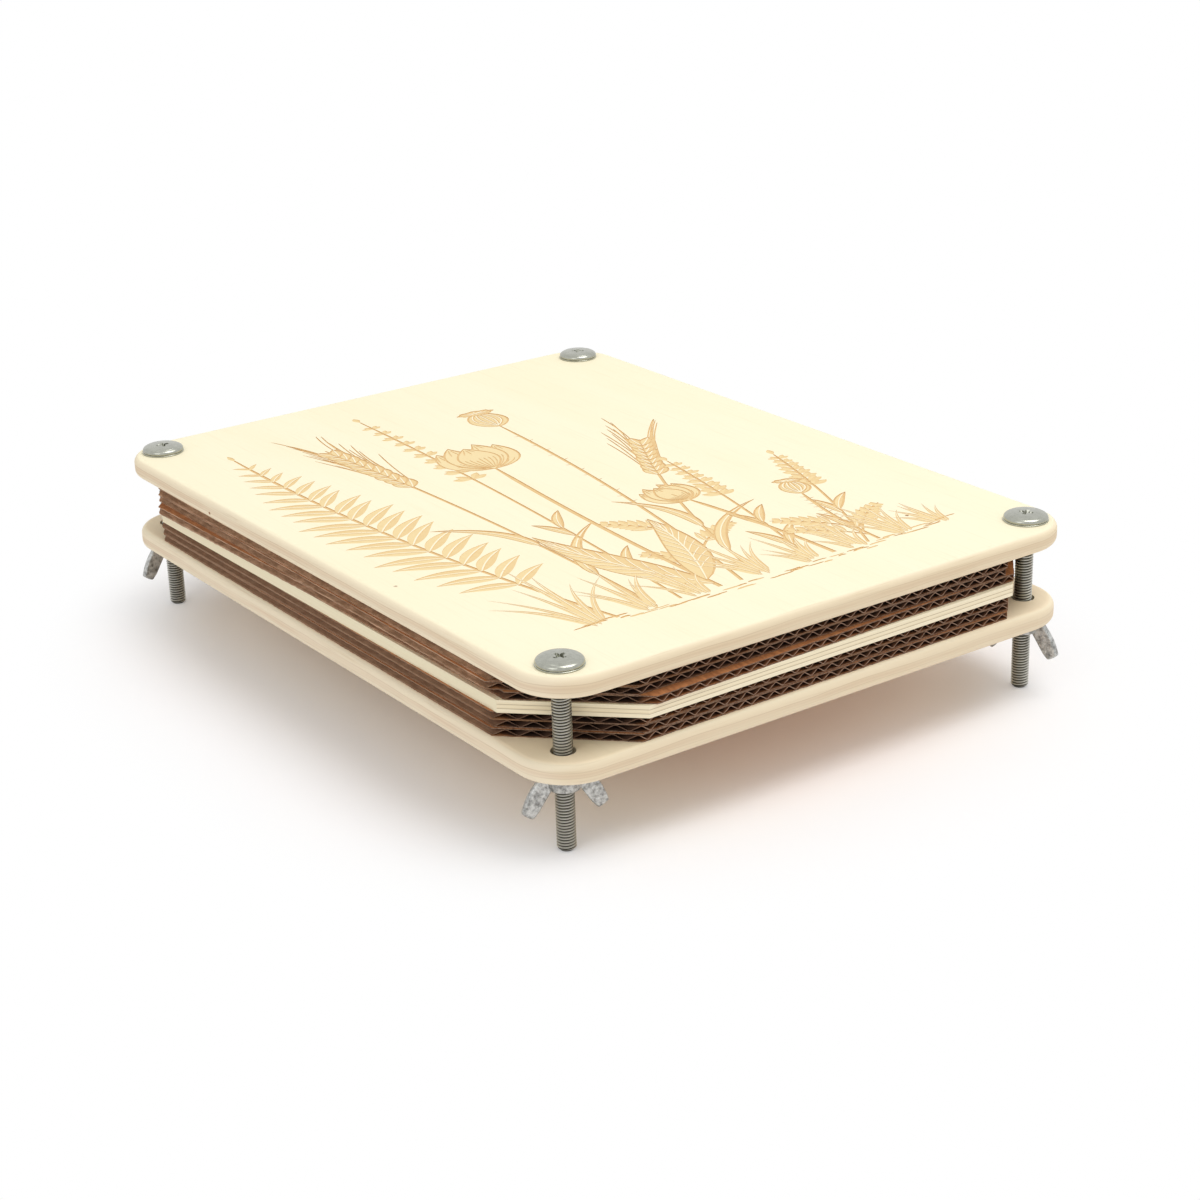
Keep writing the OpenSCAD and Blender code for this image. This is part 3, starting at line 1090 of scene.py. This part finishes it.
plateLook = {
    "long": (240, 230, 198), "face": (250, 240, 210), "bandSway": 0.06,
    "veins": ((212, 194, 156), (60, 60, 3600), 3, 0.6, 0.5, 0.72, 0.4),
    "longVeins": ((212, 194, 156), (40, 24, 2600), 3, 0.6, 0.5, 0.8, 0.3),
    "grain": ((236, 218, 184), (1400, 45, 900), 4, 0.6, 0.52, 0.82, 0.35),
    "bands": [(0, (251, 240, 210)), (0.305, (252, 241, 212)), (0.325, (136, 117, 80)),
              (0.35, (236, 220, 186)), (0.5, (249, 237, 206)), (0.645, (242, 228, 195)),
              (0.67, (132, 112, 76)), (0.695, (246, 233, 202)), (1, (252, 242, 213))],
}


def plateColour(spot):
    low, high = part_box("middle_plate")
    sway = spot.stretched(30, 30, 300).noise(1, 2) - 0.5
    level = (spot.axis("Z") - low.z) / (high.z - low.z) + sway * plateLook["bandSway"]
    edge = spot.streaked(level.ramp(plateLook["bands"]), plateLook["veins"])
    long = spot.streaked(plateLook["long"], plateLook["longVeins"])
    edge = spot.facing("X").between(0.85, 0.95).mix(edge, long)
    face = spot.streaked(plateLook["face"], plateLook["grain"])
    return spot.facing("Z").between(0.5, 0.9).mix(edge, face)


plateWood = newMaterial("plateWood", plateColour, plyRoughness, 0, plyRelief, 0.3, 0.00008)
wear(nodes["middle_plate"], plateWood)


paperLook = {
    "face": (158, 100, 58), "edge": (88, 62, 45), "side": (130, 98, 72), "wave": (144, 109, 80),
    # the last colour on the next line is painted shade, for inside the waves' open ends
    "cut": (160, 130, 110), "end": (134, 90, 58), "deep": (68, 42, 26),
    # the last colour and share on the next line are painted shade for the long sides near the front corners
    "low": (118, 88, 64), "lowShare": 0.6, "paintedFrontShade": (74, 50, 34), "paintedFrontShadeShare": 0.75,
    # in metres: off the long sides, into the open ends, and along Y
    "sideBand": (0.001, 0.005), "paintedShadeBand": (-0.0004, 0.003), "paintedFrontShadeBand": (-0.0925, -0.0825),
    "faceFibres": ((192, 128, 78), (900, 220, 900), 4, 0.65, 0.35, 0.7, 1),
    "edgeFibres": ((146, 118, 96), (1600, 1600, 3500), 3, 0.7, 0.35, 0.65, 1),
    "patches": ((130, 92, 58), (14, 14, 420), 3, 0.6, 0.48, 0.62, 0.7),
    "sideFibres": ((200, 164, 134), (300, 120, 2600), 4, 0.7, 0.35, 0.65, 1),
    "waveFibres": ((190, 152, 120), (700, 260, 900), 4, 0.65, 0.35, 0.7, 1),
    "cutFibres": ((88, 62, 45), (1900, 1900, 1900), 2, 0.6, 0.4, 0.7, 0.5),
}


def depthIn(spot):
    # how far inside the leaves' outline a point lies, in metres
    x, y = abs(spot.axis("X")), abs(spot.axis("Y"))
    half, far = leafSpec["wide"] / 2 * mm, leafSpec["long"] / 2 * mm
    chamfer = (half + far - leafSpec["cut"] * mm - x - y) / math.sqrt(2)
    return x.math("MINIMUM", far - y, chamfer)


def offSides(spot):
    # nought along the leaves' closed long sides, and 1 elsewhere
    return (leafSpec["wide"] / 2 * mm - abs(spot.axis("X"))).between(*paperLook["sideBand"])


def paintedShadeInside(spot):
    # painted shade: the waves' open ends are darkened inside, where the hollow flutes are shaded
    return depthIn(spot).between(*paperLook["paintedShadeBand"]) * offSides(spot)


def lowStack(spot):
    # the cards under the middle plate are the darker ones
    low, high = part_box("middle_plate")
    return (1 - spot.axis("Z").between(low.z, high.z)) * paperLook["lowShare"]


def paintedFrontShade(spot):
    # painted shade: the long sides are darkened close to the cut corners at the front
    return (1 - spot.axis("Y").between(*paperLook["paintedFrontShadeBand"])) * paperLook["paintedFrontShadeShare"]


def linerColour(inner):
    # inner is 1 where the waves lie above the sheet, and -1 where they lie below it
    def colour(spot):
        face = spot.streaked(paperLook["face"], paperLook["faceFibres"])
        side = spot.node("TexCoord", out="Normal").axis("Z") * inner
        # painted shade: the liner's face towards the waves is darkened inside the open ends
        face = (side.between(0.2, 0.8) * paintedShadeInside(spot)).mix(face, paperLook["deep"])
        edge = spot.streaked(paperLook["edge"], paperLook["edgeFibres"])
        edge = spot.streaked(edge, paperLook["patches"])
        long = spot.streaked(paperLook["side"], paperLook["sideFibres"])
        long = lowStack(spot).mix(long, paperLook["low"])
        # painted shade near the front corners
        long = paintedFrontShade(spot).mix(long, paperLook["paintedFrontShade"])
        edge = spot.facing("X").between(0.8, 0.95).mix(edge, long)
        return spot.facing("Z").between(0.5, 0.9).mix(edge, face)

    return colour


def waveColour(spot):
    body = spot.streaked(paperLook["wave"], paperLook["waveFibres"])
    body = lowStack(spot).mix(body, paperLook["low"])
    # painted shade near the front corners
    body = paintedFrontShade(spot).mix(body, paperLook["paintedFrontShade"])
    body = offSides(spot).mix(body, paperLook["end"])
    # painted shade inside the open ends
    body = paintedShadeInside(spot).mix(body, paperLook["deep"])
    cut = spot.streaked(paperLook["cut"], paperLook["cutFibres"])
    return spot.facing("Y").between(0.6, 0.9).mix(body, cut)


def paperRelief(spot):
    return spot.stretched(1100, 700, 1100).noise(1, 4, 0.7)


upperPaper = newMaterial("upperLinerPaper", linerColour(-1), 0.86, 0, paperRelief, 0.5, 0.0001)
lowerPaper = newMaterial("lowerLinerPaper", linerColour(1), 0.86, 0, paperRelief, 0.5, 0.0001)
wavePaper = newMaterial("wavePaper", waveColour, 0.9, 0, paperRelief, 0.5, 0.0001)
for upper, lower, waves in zip(upperSheets, lowerSheets, waveSheets):
    wear(upper, upperPaper)
    wear(lower, lowerPaper)
    wear(waves, wavePaper)


metalLook = {
    # the last colour on the next line is painted shade for the thread's grooves
    "bolt": (176, 177, 167), "boltDull": (163, 164, 154), "groove": (100, 97, 88),
    "shank": (200, 198, 190), "nut": (204, 205, 202), "nutDull": (128, 128, 125),
    "dirt": (92, 88, 78),
    "grooveBand": (0.00212, 0.00247),        # distances from the bolt's middle, in metres
    "shankShare": 0.7,
}


def onShank(spot):
    # 1 on the thread, and 0 on the head
    top = boltSpec["long"] * mm
    return 1 - spot.axis("Z").between(top - 0.0002, top)


def boltColour(spot):
    patch = spot.noise(700, 4, 0.65).between(0.3, 0.7)
    base = patch.mix(metalLook["boltDull"], metalLook["bolt"])
    specks = spot.noise(2600, 2, 0.6).between(0.68, 0.76) * 0.22
    base = specks.mix(base, metalLook["dirt"])
    # painted shade: the thread is darkened down in its grooves
    x = abs(spot.axis("X")) - boltPlaces[2][0] * mm
    y = abs(spot.axis("Y")) - boltPlaces[2][1] * mm
    middle = x.math("SQRT", x * x + y * y)
    base = (onShank(spot) * metalLook["shankShare"]).mix(base, metalLook["shank"])
    groove = (1 - middle.between(*metalLook["grooveBand"])) * onShank(spot)
    return groove.mix(base, metalLook["groove"])


def boltRoughness(spot):
    return 0.17 + spot.noise(1800, 3, 0.6) * 0.14 + onShank(spot) * 0.16


def boltRelief(spot):
    return spot.noise(4200, 2, 0.6) + spot.stretched(900, 5200, 900).noise(1, 2) * 0.5


def nutColour(spot):
    patch = spot.noise(800, 4, 0.65).between(0.28, 0.66)
    base = patch.mix(metalLook["nutDull"], metalLook["nut"])
    specks = spot.noise(2400, 2, 0.6).between(0.62, 0.74) * 0.35
    return specks.mix(base, metalLook["dirt"])


def nutRoughness(spot):
    return 0.2 + spot.noise(1500, 3, 0.6) * 0.2


def nutRelief(spot):
    return spot.noise(900, 3, 0.65) + spot.noise(3200, 2) * 0.5


boltSteel = newMaterial("boltSteel", boltColour, boltRoughness, 1.0, boltRelief, 0.12, 0.00004)
nutZinc = newMaterial("nutZinc", nutColour, nutRoughness, 1.0, nutRelief, 0.6, 0.0003)
for bolt in bolts:
    wear(bolt, boltSteel)
for nut in nuts:
    wear(nut, nutZinc)
print("materials are on")


# floor, lights and background

stageSpec = {
    # the floor's own colour fades to plain white round a core under the boards, and a painted warm
    # bounce light, on one side of it, ends sooner; distances in metres
    "floorSize": 6, "floorColour": (251, 250, 252), "paintedBounceColour": (254, 236, 233),
    "floorRough": 0.9, "floorShine": 0.1,
    "core": 0.08, "fadeBand": (0.08, 0.14), "paintedBounceBand": (0.032, 0.105), "paintedBounceSide": (-0.1, 0),
    "worldLight": 0.64, "worldColour": (1.0, 0.985, 0.965, 1),
}
lamps = [
    # name, place, aims at, size, watts, colour
    ("key", (0.34, -0.3, 1.3), (0, 0, 0), 0.9, 7.9, (1, 0.985, 0.965)),
    ("fill", (-0.95, -0.35, 0.75), (0, 0, 0.02), 0.7, 1.5, (1, 0.99, 0.97)),
]


def addFloor(spec):
    startClean()
    bpy.ops.mesh.primitive_plane_add(size=spec["floorSize"], location=(0, 0, 0))
    floor = bpy.context.object
    floor.name = "floor"
    material = bpy.data.materials.new("floorCard")
    start = clearTree(material)
    spot = start.node("TexCoord", out="Object")
    outside = []
    for name, half in (("X", boardSpec["wide"] / 2), ("Y", boardSpec["long"] / 2)):
        beyond = abs(spot.axis(name)) - (half * mm - spec["core"])
        outside.append(beyond.math("MAXIMUM", beyond, 0))
    away = spot.math("SQRT", outside[0] * outside[0] + outside[1] * outside[1])
    seen = start.node("LightPath", out="Is Camera Ray")
    far = away.between(*spec["fadeBand"]) * seen
    # painted light: a warm tint for light bounced off the wood, near the boards on one side
    paintedBounce = spot.axis("X").between(*spec["paintedBounceSide"]) * (1 - away.between(*spec["paintedBounceBand"]))
    card = start.node("BsdfPrincipled", None, {
        "Base Color": paintedBounce.mix(spec["floorColour"], spec["paintedBounceColour"]),
        "Roughness": spec["floorRough"], "Specular IOR Level": spec["floorShine"]})
    white = start.node("Emission", None, {"Color": (1, 1, 1, 1), "Strength": 1.0})
    both = start.node("MixShader", None, {0: far, 1: card, 2: white})
    start.node("OutputMaterial", None, {"Surface": both})
    wear(floor, material)


def addLamp(name, place, target, size, watts, colour):
    data = bpy.data.lights.new(name, "AREA")
    data.shape = "DISK"
    data.size = size
    data.energy = watts
    data.color = colour
    lamp = addObject(name, data)
    lamp.location = place
    lamp.rotation_euler = (Vector(target) - Vector(place)).to_track_quat("-Z", "Y").to_euler()


def lightWorld(spec):
    world = bpy.data.worlds.new("studio")
    bpy.context.scene.world = world
    start = clearTree(world)
    shown = start.node("LightPath", out="Is Camera Ray")
    for kind in ("Glossy", "Transmission"):
        shown = shown.math("MAXIMUM", shown, start.node("LightPath", out="Is " + kind + " Ray"))
    colour = shown.mix(spec["worldColour"], (1, 1, 1, 1))
    strength = shown * (1 - spec["worldLight"]) + spec["worldLight"]
    back = start.node("Background", None, {"Color": colour, "Strength": strength})
    start.node("OutputWorld", None, {"Surface": back})


addFloor(stageSpec)
for lamp in lamps:
    addLamp(*lamp)
lightWorld(stageSpec)
bpy.context.scene.view_settings.view_transform = "Standard"
print("stage is set")
